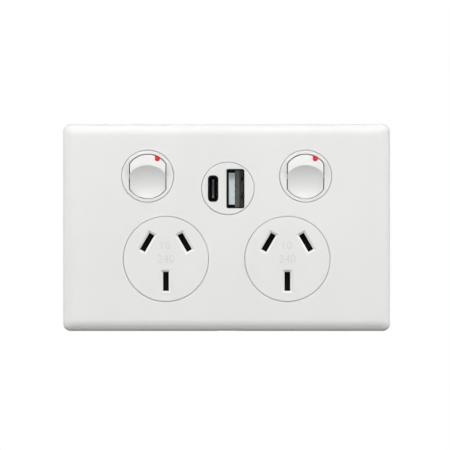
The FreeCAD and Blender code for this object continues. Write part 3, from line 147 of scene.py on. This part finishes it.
class SocketColours(bpy.types.PropertyGroup):
    """Colours of the finishes."""

    white: tint("White moulding", "Cover, frame, outlets and rockers",
                (0.825, 0.825, 0.811))
    dark: tint("Dark moulding", "Rear housing", (0.036, 0.037, 0.04))
    black: tint("Black moulding", "Shutters, plungers and contact carrier",
                (0.005, 0.005, 0.006))
    red: tint("On mark", "Moulded mark on each rocker", (0.78, 0.03, 0.04))
    brass: tint("Brass", "Pressed strip and terminals", (0.72, 0.5, 0.2))
    steel: tint("Zinc steel", "Screws and springs", (0.6, 0.61, 0.62))
    # Painted shade: this nickel is taken down nearly to black for the dark port mouths.
    nickel: tint("Dark nickel", "Port shells", (0.018, 0.0195, 0.021))
    tongue: tint("Port tongue", "Moulded tongue of the larger port", (0.86, 0.97, 1.0))
    board: tint("Board", "Solder mask", (0.012, 0.09, 0.03))
    floor: tint("Floor", "Studio floor", (0.39, 0.39, 0.385))


class Amount:
    """A number that changes over a surface; sums and products add Math nodes."""

    def __init__(self, nodes, socket):
        self.nodes = nodes
        self.socket = socket

    def _math(self, operation, first, second):
        made = self.nodes.node("ShaderNodeMath", {"operation": operation}, first, second)
        return Amount(self.nodes, made.outputs[0])

    def __add__(self, other):
        return self._math("ADD", self, other)

    __radd__ = __add__

    def __sub__(self, other):
        return self._math("SUBTRACT", self, other)

    def __rsub__(self, other):
        return self._math("SUBTRACT", other, self)

    def __mul__(self, other):
        return self._math("MULTIPLY", self, other)

    __rmul__ = __mul__

    def __pow__(self, other):
        return self._math("POWER", self, other)

    def over(self, level):
        """One where the number is above a level, and nought elsewhere."""
        return self._math("GREATER_THAN", self, level)

    def larger(self, other):
        """The larger of two numbers."""
        return self._math("MAXIMUM", self, other)

    def smaller(self, other):
        """The smaller of two numbers."""
        return self._math("MINIMUM", self, other)

    def between(self, low, high):
        """The number stretched so that low gives nought and high gives one."""
        made = self.nodes.node("ShaderNodeMapRange", {"interpolation_type": "SMOOTHSTEP"},
                               self, low, high, 0.0, 1.0)
        return Amount(self.nodes, made.outputs[0])


class Nodes:
    """A node tree that is filled node by node."""

    def __init__(self, tree):
        self.tree = tree

    def fill(self, socket, value):
        """Link a value to a socket, or set it there."""
        if isinstance(value, Amount):
            value = value.socket
        if isinstance(value, bpy.types.NodeSocket):
            self.tree.links.new(value, socket)
        elif value is not None:
            socket.default_value = value

    def node(self, kind, settings, *sockets, **named):
        """Add a node, set it up, then fill its sockets in order or by name."""
        made = self.tree.nodes.new(kind)
        for name, value in settings.items():
            setattr(made, name, value)
        for socket, value in zip((s for s in made.inputs if s.enabled), sockets):
            self.fill(socket, value)
        for name, value in named.items():
            self.fill(made.inputs[name.replace("_", " ")], value)
        return made


class Finish(Nodes):
    """One material and the nodes that give it its look."""

    def __init__(self, name, **constants):
        self.material = bpy.data.materials.new(name)
        self.material.use_nodes = True
        super().__init__(self.material.node_tree)
        self.shader = self.tree.nodes["Principled BSDF"]
        self.output = self.tree.nodes["Material Output"]
        for socket, amount in constants.items():
            self.feed(socket.replace("_", " "), amount)
        self.where = self.node("ShaderNodeTexCoord", {}).outputs["Object"]

    def feed(self, socket, value):
        """Give a socket of the shader its colour, number or normal."""
        self.fill(self.shader.inputs[socket], value)

    def stretched(self, across, depth, up):
        """Object coordinates scaled by a different amount along each axis."""
        made = self.node("ShaderNodeMapping", {}, Vector=self.where,
                         Scale=(across, depth, up))
        return made.outputs[0]

    def noise(self, scale, detail, where=None):
        """Soft random variation around a half."""
        made = self.node("ShaderNodeTexNoise", {}, Vector=where or self.where,
                         Scale=scale, Detail=detail)
        return Amount(self, made.outputs[0])

    def cells(self, scale):
        """Distance to the nearest of many scattered points."""
        made = self.node("ShaderNodeTexVoronoi", {}, Vector=self.where, Scale=scale)
        return Amount(self, made.outputs[0])

    def along(self, axis):
        """One of the three Object coordinates, in metres."""
        made = self.node("ShaderNodeSeparateXYZ", {}, self.where)
        return Amount(self, made.outputs[axis])

    def distance(self, spot):
        """How far the surface is from a spot, in metres."""
        made = self.node("ShaderNodeVectorMath", {"operation": "DISTANCE"},
                         self.where, spot)
        return Amount(self, made.outputs["Value"])

    def mix(self, factor, first, second):
        """Blend two colours."""
        sides = [side if isinstance(side, bpy.types.NodeSocket) else tuple(side) + (1.0,)
                 for side in (first, second)]
        made = self.node("ShaderNodeMix", {"data_type": "RGBA"}, factor, *sides)
        return made.outputs[2]

    def facing(self, left, right, reach):
        """The surface normal, which is the bare facets' own within reach of two spots."""
        gap = self.distance(left).smaller(self.distance(right))
        surface = self.node("ShaderNodeNewGeometry", {})
        made = self.node("ShaderNodeMix", {"data_type": "VECTOR"},
                         gap.between(reach, reach * 1.3),
                         surface.outputs["True Normal"], surface.outputs["Normal"])
        return made.outputs[1]

    def relief(self, height, depth, facing=None):
        """Bump from a height pattern, with its depth in metres."""
        made = self.node("ShaderNodeBump", {}, Strength=1.0, Distance=depth,
                         Height=height, Normal=facing)
        self.feed("Normal", made.outputs[0])


def shade(colour, share):
    """A colour made darker or lighter by a share."""
    return tuple(min(1.0, channel * share) for channel in colour)


def white_moulding(colour):
    """Satin injection moulding: faint flow clouding and a very fine grain."""
    finish = Finish("white_moulding", Specular_IOR_Level=0.25)
    clouds = finish.noise(38.0, 3.0)
    grain = finish.noise(5200.0, 1.0)
    flow = finish.noise(1.0, 2.0, finish.stretched(90.0, 90.0, 16.0))
    soft = clouds * 0.6 + flow * 0.4
    finish.feed("Base Color", finish.mix(soft.between(0.3, 0.7), shade(colour, 0.985),
                                         shade(colour, 1.012)))
    finish.feed("Roughness", 0.34 + clouds * 0.05 + grain * 0.04)
    finish.relief(grain + finish.noise(900.0, 1.0) * 0.8, 0.0000022,
                  finish.facing(*SCOOP_POLES, SCOOP_REACH))
    return finish.material


def digit_moulding(colour):
    """The same white as the faces, painted a little darker all over as shade along the
    raised strokes, mottled by noise.
    """
    finish = Finish("digit_moulding", Specular_IOR_Level=0.4)
    shade_mottle = finish.noise(2200.0, 3.0)
    # Painted shade: the whole digit is mixed darker than the white of the faces.
    finish.feed("Base Color", finish.mix(shade_mottle.between(0.35, 0.7), shade(colour, 0.9),
                                         shade(colour, 0.8)))
    finish.feed("Roughness", 0.42 + shade_mottle * 0.12)
    finish.relief(shade_mottle, 0.000004)
    return finish.material


def dark_moulding(colour):
    """Spark-textured housing plastic with lighter worn spots."""
    finish = Finish("dark_moulding", Specular_IOR_Level=0.4)
    pits = finish.noise(2600.0, 2.0)
    clouds = finish.noise(60.0, 3.0)
    wear_and_shade = finish.noise(240.0, 4.0).between(0.62, 0.78)
    base = finish.mix(clouds.between(0.35, 0.7), colour, shade(colour, 1.5))
    finish.feed("Base Color", finish.mix(wear_and_shade * 0.5, base, shade(colour, 2.4)))
    finish.feed("Roughness", 0.5 + pits * 0.16)
    finish.relief(pits + finish.cells(1500.0) * 0.5, 0.00002)
    return finish.material


def black_moulding(colour):
    """Black moulding with a fine even grain."""
    finish = Finish("black_moulding", Specular_IOR_Level=0.08)
    grain = finish.noise(3200.0, 2.0)
    finish.feed("Base Color", finish.mix(grain, shade(colour, 0.7), shade(colour, 1.4)))
    finish.feed("Roughness", 0.55 + grain * 0.2)
    finish.relief(grain, 0.000008)
    return finish.material


def red_moulding(colour):
    """Glossy red insert, a little deeper where the pigment has settled."""
    finish = Finish("red_moulding", Specular_IOR_Level=0.15)
    clouds = finish.noise(700.0, 2.0)
    finish.feed("Base Color", finish.mix(clouds.between(0.3, 0.7), shade(colour, 0.86),
                                         colour))
    finish.feed("Roughness", 0.28 + clouds * 0.1)
    finish.relief(finish.noise(3000.0, 1.0), 0.000002)
    return finish.material


def pressed_brass(colour):
    """Rolled brass strip with fine lines along it and patches of tarnish."""
    finish = Finish("pressed_brass", Metallic=1.0)
    lines = finish.noise(1.0, 3.0, finish.stretched(240.0, 240.0, 6000.0))
    tarnish = finish.noise(150.0, 4.0).between(0.5, 0.75)
    finish.feed("Base Color", finish.mix(tarnish, colour, (0.42, 0.24, 0.09)))
    finish.feed("Roughness", 0.24 + lines * 0.12 + tarnish * 0.2)
    finish.relief(lines, 0.000004)
    return finish.material


def turned_brass(colour):
    """Drawn brass bar, cut and drilled, with tool rings and dull faces."""
    finish = Finish("turned_brass", Metallic=1.0)
    rings = finish.noise(1.0, 2.0, finish.stretched(500.0, 9000.0, 500.0))
    dull = finish.noise(420.0, 3.0)
    finish.feed("Base Color", finish.mix(dull.between(0.4, 0.8), shade(colour, 1.05),
                                         (0.5, 0.32, 0.13)))
    finish.feed("Roughness", 0.2 + rings * 0.14 + dull * 0.1)
    finish.relief(rings, 0.000005)
    return finish.material


def zinc_steel(colour):
    """Zinc-plated steel: bright, slightly blue and yellow in patches."""
    finish = Finish("zinc_steel", Metallic=1.0)
    patches = finish.noise(900.0, 3.0)
    base = finish.mix(patches.between(0.35, 0.6), (0.52, 0.57, 0.66), colour)
    finish.feed("Base Color", finish.mix(patches.between(0.62, 0.8), base,
                                         (0.7, 0.65, 0.5)))
    finish.feed("Roughness", 0.22 + finish.noise(4000.0, 2.0) * 0.18)
    finish.relief(finish.noise(5000.0, 2.0), 0.000003)
    return finish.material


def shaded_nickel(colour):
    """Port shell of deep-drawn sheet, brushed along its depth, its metal taken down
    nearly to black as painted shade of the port mouths, with a paler band beside the
    larger port's tongue.
    """
    finish = Finish("shaded_nickel", Metallic=1.0)
    brushed = finish.noise(1.0, 2.0, finish.stretched(7000.0, 300.0, 7000.0))
    # A paler band starts beside the larger port's tongue, and is mostly faded again
    # towards the far wall.
    across = finish.along(0)
    pale_band = across.between(0.0030, 0.0032) - across.between(0.0044, 0.0049) * 0.65
    inside = finish.along(1).between(0.0, 0.001)
    # Painted shade: the near-black metal stands in for the shade of the port mouths.
    skin = finish.mix(brushed, shade(colour, 0.6), shade(colour, 1.3))
    finish.feed("Base Color", finish.mix(pale_band * inside, skin, (0.28, 0.3, 0.27)))
    finish.feed("Roughness", 0.3 + brushed * 0.2)
    finish.relief(brushed, 0.000004)
    return finish.material


def tongue_moulding(colour):
    """Pale tongue with faint upright drag lines from its mould."""
    finish = Finish("tongue_moulding", Specular_IOR_Level=0.5)
    lines = finish.noise(1.0, 2.0, finish.stretched(5200.0, 800.0, 160.0))
    finish.feed("Base Color", finish.mix(lines.between(0.3, 0.7), shade(colour, 0.96),
                                         colour))
    finish.feed("Roughness", 0.3 + lines * 0.12)
    finish.relief(lines, 0.000012)
    return finish.material


def blade_moulding():
    """Grey blade of the smaller port, with painted highlights that make it lighter
    towards its two ends.
    """
    finish = Finish("blade_moulding", Specular_IOR_Level=0.4)
    reach = finish.along(2) - USB_CENTRE.z
    # Painted highlight: the colour rises from dark grey in the middle to light grey at
    # both ends.
    ends = (reach * reach).between(0.0016 ** 2, 0.0032 ** 2)
    grain = finish.noise(2600.0, 2.0)
    finish.feed("Base Color", finish.mix(ends, (0.09, 0.1, 0.1), (0.3, 0.31, 0.31)))
    finish.feed("Roughness", 0.35 + grain * 0.2)
    finish.relief(grain, 0.000006)
    return finish.material


def contact_strip():
    """Contact strip of the larger port, painted nearly black as shade inside the port,
    with streaks along it.
    """
    finish = Finish("contact_strip", Metallic=1.0)
    wear_and_shade = finish.noise(1.0, 3.0, finish.stretched(900.0, 300.0, 5000.0))
    # Painted shade: both colours of the strip are near black, standing in for the shade
    # inside the port.
    finish.feed("Base Color", finish.mix(wear_and_shade.between(0.4, 0.7), (0.012, 0.01, 0.008),
                                         (0.08, 0.06, 0.04)))
    finish.feed("Roughness", 0.25 + wear_and_shade * 0.25)
    finish.relief(wear_and_shade, 0.000004)
    return finish.material


def gold_plate():
    """Thin gold plating with a rubbed track."""
    finish = Finish("gold_plate", Metallic=1.0)
    track = finish.noise(1.0, 2.0, finish.stretched(600.0, 300.0, 4000.0))
    finish.feed("Base Color", finish.mix(track.between(0.45, 0.7), (0.83, 0.6, 0.24),
                                         (0.9, 0.74, 0.42)))
    finish.feed("Roughness", 0.16 + track * 0.2)
    finish.relief(track, 0.000002)
    return finish.material


def circuit_board(colour):
    """Solder mask over tracks, with bare pads."""
    finish = Finish("circuit_board", Coat_Weight=0.4, Coat_Roughness=0.2)
    made = finish.node("ShaderNodeTexBrick", {"offset": 0.5}, Vector=finish.where,
                       Scale=420.0, Mortar_Size=0.09, Mortar_Smooth=0.1)
    tracks = 1.0 - Amount(finish, made.outputs["Fac"])
    pads = 1.0 - finish.cells(520.0).over(0.18)
    mask = finish.mix(tracks, shade(colour, 1.9), colour)
    finish.feed("Base Color", finish.mix(pads, mask, (0.7, 0.66, 0.5)))
    finish.feed("Metallic", pads * 0.9)
    finish.feed("Roughness", 0.36 - pads * 0.12)
    finish.relief(tracks * -1.0 + pads, 0.00003)
    return finish.material


def ferrite_core():
    """Grey ferrite with yellow tape where the winding shows beyond it."""
    finish = Finish("ferrite_core")
    middle, half = USB_CENTRE.z - 0.002, 0.00605
    reach = finish.along(2) - middle
    tape = (reach * reach).over(half ** 2)
    grit = finish.noise(3000.0, 3.0)
    core = finish.mix(grit, (0.03, 0.03, 0.032), (0.09, 0.09, 0.092))
    wound = finish.mix(finish.noise(1.0, 2.0, finish.stretched(60.0, 1500.0, 60.0)),
                       (0.72, 0.5, 0.05), (0.82, 0.62, 0.12))
    finish.feed("Base Color", finish.mix(tape, core, wound))
    finish.feed("Roughness", 0.75 - tape * 0.4)
    finish.relief(grit, 0.00001)
    return finish.material


def sleeved_can():
    """Capacitor can: bare metal in front, dark printed sleeve behind it."""
    finish = Finish("sleeved_can")
    sleeve = finish.along(1).over(0.0102)
    brushed = finish.noise(1.0, 2.0, finish.stretched(3000.0, 300.0, 3000.0))
    metal = finish.mix(brushed, (0.56, 0.57, 0.58), (0.74, 0.75, 0.76))
    finish.feed("Base Color", finish.mix(sleeve, metal, (0.02, 0.03, 0.08)))
    finish.feed("Metallic", 1.0 - sleeve)
    finish.feed("Roughness", 0.3 + brushed * 0.15)
    finish.relief(brushed, 0.000004)
    return finish.material


def studio_floor(colour):
    """Pale floor that fades to the plain background, and is open seen from below."""
    finish = Finish("studio_floor", Specular_IOR_Level=0.1)
    grain = finish.noise(900.0, 3.0)
    finish.feed("Base Color", finish.mix(grain, shade(colour, 0.98), shade(colour, 1.02)))
    finish.feed("Roughness", 0.8 + grain * 0.1)
    across, deep = finish.along(0), finish.along(1)
    reach = (across * across + deep * deep) ** 0.5
    ray = finish.node("ShaderNodeLightPath", {})
    seen = Amount(finish, ray.outputs["Is Camera Ray"])
    background = finish.node("ShaderNodeEmission", {}, Color=(1.0, 1.0, 1.0, 1.0),
                             Strength=1.0)
    pale = FLOOR_GLOW + reach.between(*FLOOR_FADE) * (1.0 - FLOOR_GLOW)
    blend = finish.node("ShaderNodeMixShader", {}, pale * seen,
                        finish.shader.outputs[0], background.outputs[0])
    side = finish.node("ShaderNodeNewGeometry", {})
    clear = finish.node("ShaderNodeBsdfTransparent", {})
    open_below = finish.node("ShaderNodeMixShader", {}, side.outputs["Backfacing"],
                             blend.outputs[0], clear.outputs[0])
    finish.fill(finish.output.inputs["Surface"], open_below.outputs[0])
    return finish.material


def studio_sky():
    """White to the camera, in gloss and through glass, and a faint light from above."""
    world = bpy.data.worlds.new("studio")
    world.use_nodes = True
    world.node_tree.nodes.clear()
    sky = Nodes(world.node_tree)
    where = sky.node("ShaderNodeTexCoord", {})
    up = sky.node("ShaderNodeSeparateXYZ", {}, where.outputs["Generated"])
    level = sky.node("ShaderNodeMapRange", {}, up.outputs[2], *SKY_SPAN,
                     0.0, SKY_STRENGTH)
    ray = sky.node("ShaderNodeLightPath", {})
    camera, gloss, glass = (Amount(sky, ray.outputs["Is %s Ray" % kind])
                            for kind in ("Camera", "Glossy", "Transmission"))
    strength = sky.node("ShaderNodeMix", {}, camera.larger(gloss).larger(glass),
                        level.outputs[0], 1.0)
    light = sky.node("ShaderNodeBackground", {}, Color=(1.0, 1.0, 1.0, 1.0),
                     Strength=strength.outputs[0])
    sky.node("ShaderNodeOutputWorld", {}, light.outputs[0])
    return world


def dress(names, material):
    """Give CAD pieces their finish."""
    for name in names:
        mesh = frame["nodes"][name].data
        if mesh.materials:
            for index in range(len(mesh.materials)):
                mesh.materials[index] = material
        else:
            mesh.materials.append(material)


def finish_of(name):
    """A finish made by an earlier step."""
    material = bpy.data.materials.get(name)
    if material is None:
        raise RuntimeError("The finish %s has not been made yet" % name)
    return material


def add_object(name, data):
    """Put a mesh, a lamp or a camera into the scene."""
    made = bpy.data.objects.new(name, data)
    bpy.context.scene.collection.objects.link(made)
    return made


def to_mesh(name, form, material):
    """Turn a bmesh into a mesh with one finish, and free it."""
    mesh = bpy.data.meshes.new(name)
    form.to_mesh(mesh)
    form.free()
    mesh.materials.append(material)
    return mesh


def add_piece(name, form, material):
    """Turn a bmesh into a flat-shaded piece that rides on the housing."""
    mesh = to_mesh(name, form, material)
    for face in mesh.polygons:
        face.use_smooth = False
    piece = add_object(name, mesh)
    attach(piece, "housing")


def add_form(whole, part):
    """Put one bmesh into another and free it."""
    mesh = bpy.data.meshes.new("part")
    part.to_mesh(mesh)
    part.free()
    whole.from_mesh(mesh)
    bpy.data.meshes.remove(mesh)


def lettering(text, height, thickness):
    """Solid characters about the origin, facing out of the wall."""
    curve = bpy.data.curves.new("characters", "FONT")
    curve.body = text
    curve.align_x = "CENTER"
    curve.align_y = "CENTER"
    curve.resolution_u = 4
    curve.offset = -0.012
    curve.extrude = 1.0
    holder = bpy.data.objects.new("characters", curve)
    mesh = bpy.data.meshes.new_from_object(holder)
    form = bmesh.new()
    form.from_mesh(mesh)
    bpy.data.objects.remove(holder)
    bpy.data.curves.remove(curve)
    bpy.data.meshes.remove(mesh)
    bmesh.ops.remove_doubles(form, verts=form.verts, dist=0.0001)
    spans = [[v.co[axis] for v in form.verts] for axis in range(3)]
    low = Vector([min(span) for span in spans])
    high = Vector([max(span) for span in spans])
    bmesh.ops.translate(form, vec=(low + high) / -2, verts=form.verts)
    size = height / (high.y - low.y)
    bmesh.ops.scale(form, vec=(size, size, thickness / (high.z - low.z)),
                    verts=form.verts)
    bmesh.ops.rotate(form, cent=(0, 0, 0), verts=form.verts,
                     matrix=Matrix.Rotation(math.pi / 2, 3, "X"))
    bmesh.ops.recalc_face_normals(form, faces=form.faces)
    return form


def flap(width, height):
    """A shutter flap about the origin, whose upper end slopes away from the slot."""
    form = bmesh.new()
    bmesh.ops.create_cube(form, size=1.0)
    bmesh.ops.scale(form, vec=(width, FLAP_THICKNESS, height), verts=form.verts)
    front = [v for v in form.verts if v.co.y < 0 and v.co.z > 0]
    bmesh.ops.translate(form, vec=(0, FLAP_FALL, 0), verts=front)
    bmesh.ops.bevel(form, geom=form.edges[:], offset=FLAP_ROUNDING, offset_type="OFFSET",
                    segments=2, profile=0.5, affect="EDGES", material=-1)
    return form


def leaf(depth, width, bow):
    """A leaf spring that runs into the wall and bows towards -X, about the origin."""
    form = bmesh.new()
    bmesh.ops.create_grid(form, x_segments=10, y_segments=1, size=0.5)
    for vert in form.verts:
        along, up = vert.co.x, vert.co.y
        vert.co = (-bow * (1 - 4 * along * along), along * depth, up * width)
    bmesh.ops.solidify(form, geom=form.faces[:], thickness=SPRING_THICKNESS)
    bmesh.ops.recalc_face_normals(form, faces=form.faces)
    return form


class SOCKET_OT_mouldings(bpy.types.Operator):
    """Finish the white, dark and black moulded pieces"""

    bl_idname = "socket.mouldings"
    bl_label = "Moulded Pieces"

    def execute(self, context):
        colours = context.scene.socket_colours
        dress(WHITE_MOULDINGS, white_moulding(colours.white))
        dress(DARK_MOULDINGS, dark_moulding(colours.dark))
        dress(BLACK_MOULDINGS, black_moulding(colours.black))
        dress(MARKS, red_moulding(colours.red))
        return {"FINISHED"}


class SOCKET_OT_metals(bpy.types.Operator):
    """Finish the brass, the screws and the springs"""

    bl_idname = "socket.metals"
    bl_label = "Metal Pieces"

    def execute(self, context):
        colours = context.scene.socket_colours
        dress(PRESSED_BRASS, pressed_brass(colours.brass))
        dress(TURNED_BRASS, turned_brass(colours.brass))
        dress(ZINC_STEEL, zinc_steel(colours.steel))
        return {"FINISHED"}


class SOCKET_OT_port_insides(bpy.types.Operator):
    """Finish the shells, tongues and electronics of the USB module"""

    bl_idname = "socket.port_insides"
    bl_label = "USB Module Insides"

    def execute(self, context):
        colours = context.scene.socket_colours
        dress(SHELLS, shaded_nickel(colours.nickel))
        dress(("usb_a_tongue",), tongue_moulding(colours.tongue))
        dress(("usb_c_tongue",), blade_moulding())
        dress(("usb_a_contacts",), contact_strip())
        dress(("usb_board_pins",), gold_plate())
        dress(BOARDS, circuit_board(colours.board))
        dress(("usb_transformer",), ferrite_core())
        dress(CANS, sleeved_can())
        return {"FINISHED"}


class SOCKET_OT_digits(bpy.types.Operator):
    """Raise the plain digits in the middle of each outlet"""

    bl_idname = "socket.digits"
    bl_label = "Outlet Digits"

    def execute(self, context):
        sizes = context.scene.socket_sizes
        grey = digit_moulding(context.scene.socket_colours.white)
        for name, centre in OUTLETS.items():
            whole = bmesh.new()
            for text, up in (("10", LINE_RISE), ("240", LINE_RISE - sizes.line_gap)):
                part = lettering(text, sizes.digit_height, sizes.digit_rise * 3)
                bmesh.ops.translate(part, verts=part.verts, vec=(
                    centre.x, FACE + sizes.digit_rise / 2, centre.z + up))
                add_form(whole, part)
            add_piece("digits_" + name, whole, grey)
        return {"FINISHED"}


class SOCKET_OT_shutters(bpy.types.Operator):
    """Close each pin slot with a black ramped shutter flap"""

    bl_idname = "socket.shutters"
    bl_label = "Slot Shutters"

    def execute(self, context):
        sizes = context.scene.socket_sizes
        black = finish_of("black_moulding")
        turn = sizes.slot_angle
        depth = FACE + sizes.shutter_depth + FLAP_THICKNESS / 2
        for name, centre in OUTLETS.items():
            whole = bmesh.new()
            for way, reach, lean in ((-turn, sizes.live_radius, math.pi / 2 - turn),
                                     (turn, sizes.live_radius, turn - math.pi / 2),
                                     (math.pi, sizes.earth_radius, 0.0)):
                part = flap(sizes.shutter_width, sizes.shutter_length)
                bmesh.ops.rotate(part, cent=(0, 0, 0), verts=part.verts,
                                 matrix=Matrix.Rotation(lean, 3, "Y"))
                bmesh.ops.translate(part, verts=part.verts, vec=(
                    centre.x + math.sin(way) * reach, depth,
                    centre.z + math.cos(way) * reach))
                add_form(whole, part)
            add_piece("shutters_" + name, whole, black)
        return {"FINISHED"}


class SOCKET_OT_port_springs(bpy.types.Operator):
    """Set the leaf springs inside both ports"""

    bl_idname = "socket.port_springs"
    bl_label = "Port Springs"

    def execute(self, context):
        width = context.scene.socket_sizes.spring_width
        gold = finish_of("gold_plate")
        for port, pitch, share, depth, bow, sides in PORT_SPRINGS:
            low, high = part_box(port + "_shell")
            middle = low.y + SPRING_START + depth / 2
            whole = bmesh.new()
            for side in sides:
                wall = (low.x + high.x) / 2 + side * ((high.x - low.x) / 2 - SPRING_INSET)
                for way in (-0.5, 0.5):
                    part = leaf(depth, width * share, bow * side)
                    bmesh.ops.translate(part, verts=part.verts, vec=(
                        wall, middle, USB_CENTRE.z + pitch * way))
                    add_form(whole, part)
            add_piece(port + "_springs", whole, gold)
        return {"FINISHED"}


class SOCKET_OT_letters(bpy.types.Operator):
    """Raise a letter beside each terminal screw at the back"""

    bl_idname = "socket.letters"
    bl_label = "Terminal Letters"

    def execute(self, context):
        height = context.scene.socket_sizes.letter_height
        dark = finish_of("dark_moulding")
        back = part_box("rear_housing")[1].y
        whole = bmesh.new()
        for text, node in TERMINAL_LETTERS:
            start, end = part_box(node)
            part = lettering(text, height, LETTER_THICKNESS)
            bmesh.ops.rotate(part, cent=(0, 0, 0), verts=part.verts,
                             matrix=Matrix.Rotation(math.pi, 3, "Z"))
            bmesh.ops.translate(part, verts=part.verts, vec=(
                (start.x + end.x) / 2, back - LETTER_THICKNESS / 2, end.z + LETTER_GAP))
            add_form(whole, part)
        add_piece("terminal_letters", whole, dark)
        return {"FINISHED"}


class SOCKET_OT_stage(bpy.types.Operator):
    """Set the floor, the lights, the background and the camera"""

    bl_idname = "socket.stage"
    bl_label = "Studio Stage"

    def execute(self, context):
        scene = context.scene
        form = bmesh.new()
        bmesh.ops.create_grid(form, x_segments=1, y_segments=1, size=FLOOR_HALF)
        bmesh.ops.translate(form, vec=(0, 0, FLOOR_LEVEL), verts=form.verts)
        floor = add_object("floor", to_mesh("floor", form,
                                            studio_floor(scene.socket_colours.floor)))

        for name, spot, width, height, power, spread in LAMPS:
            data = bpy.data.lights.new(name, "AREA")
            data.shape = "RECTANGLE"
            data.size = width
            data.size_y = height
            data.energy = power
            data.spread = math.radians(spread)
            lamp = add_object(name, data)
            lamp.location = spot
            lamp.rotation_euler = (-Vector(spot)).to_track_quat("-Z", "Y").to_euler()

        scene.world = studio_sky()

        data = bpy.data.cameras.new("camera")
        data.lens = CAMERA_LENS
        data.sensor_width = CAMERA_SENSOR
        camera = add_object("camera", data)
        camera.location = CAMERA_PLACE
        camera.rotation_euler = (math.pi / 2, 0.0, 0.0)
        scene.camera = camera
        scene.view_settings.view_transform = "Standard"
        return {"FINISHED"}


STEPS = (SOCKET_OT_mouldings, SOCKET_OT_metals, SOCKET_OT_port_insides, SOCKET_OT_digits,
         SOCKET_OT_shutters, SOCKET_OT_port_springs, SOCKET_OT_letters, SOCKET_OT_stage)


class SOCKET_PT_panel(bpy.types.Panel):
    """Lists the steps that finish the wall socket"""

    bl_idname = "SOCKET_PT_panel"
    bl_label = "Wall Socket"
    bl_space_type = "VIEW_3D"
    bl_region_type = "UI"
    bl_category = "Wall Socket"

    def draw(self, context):
        column = self.layout.column()
        for step in STEPS:
            column.operator(step.bl_idname)
        for group in (context.scene.socket_sizes, context.scene.socket_colours):
            for name in group.bl_rna.properties.keys():
                if name not in ("rna_type", "name"):
                    column.prop(group, name)


CLASSES = (SocketSizes, SocketColours) + STEPS + (SOCKET_PT_panel,)


def register():
    """Add the property groups, operators and panel to Blender."""
    for item in CLASSES:
        bpy.utils.register_class(item)
    bpy.types.Scene.socket_sizes = PointerProperty(type=SocketSizes)
    bpy.types.Scene.socket_colours = PointerProperty(type=SocketColours)


def unregister():
    """Take them out again."""
    del bpy.types.Scene.socket_sizes
    del bpy.types.Scene.socket_colours
    for item in reversed(CLASSES):
        bpy.utils.unregister_class(item)


def main():
    """Run every step in order."""
    register()
    for step in STEPS:
        group, name = step.bl_idname.split(".")
        getattr(getattr(bpy.ops, group), name)()


if __name__ == "__main__":
    main()
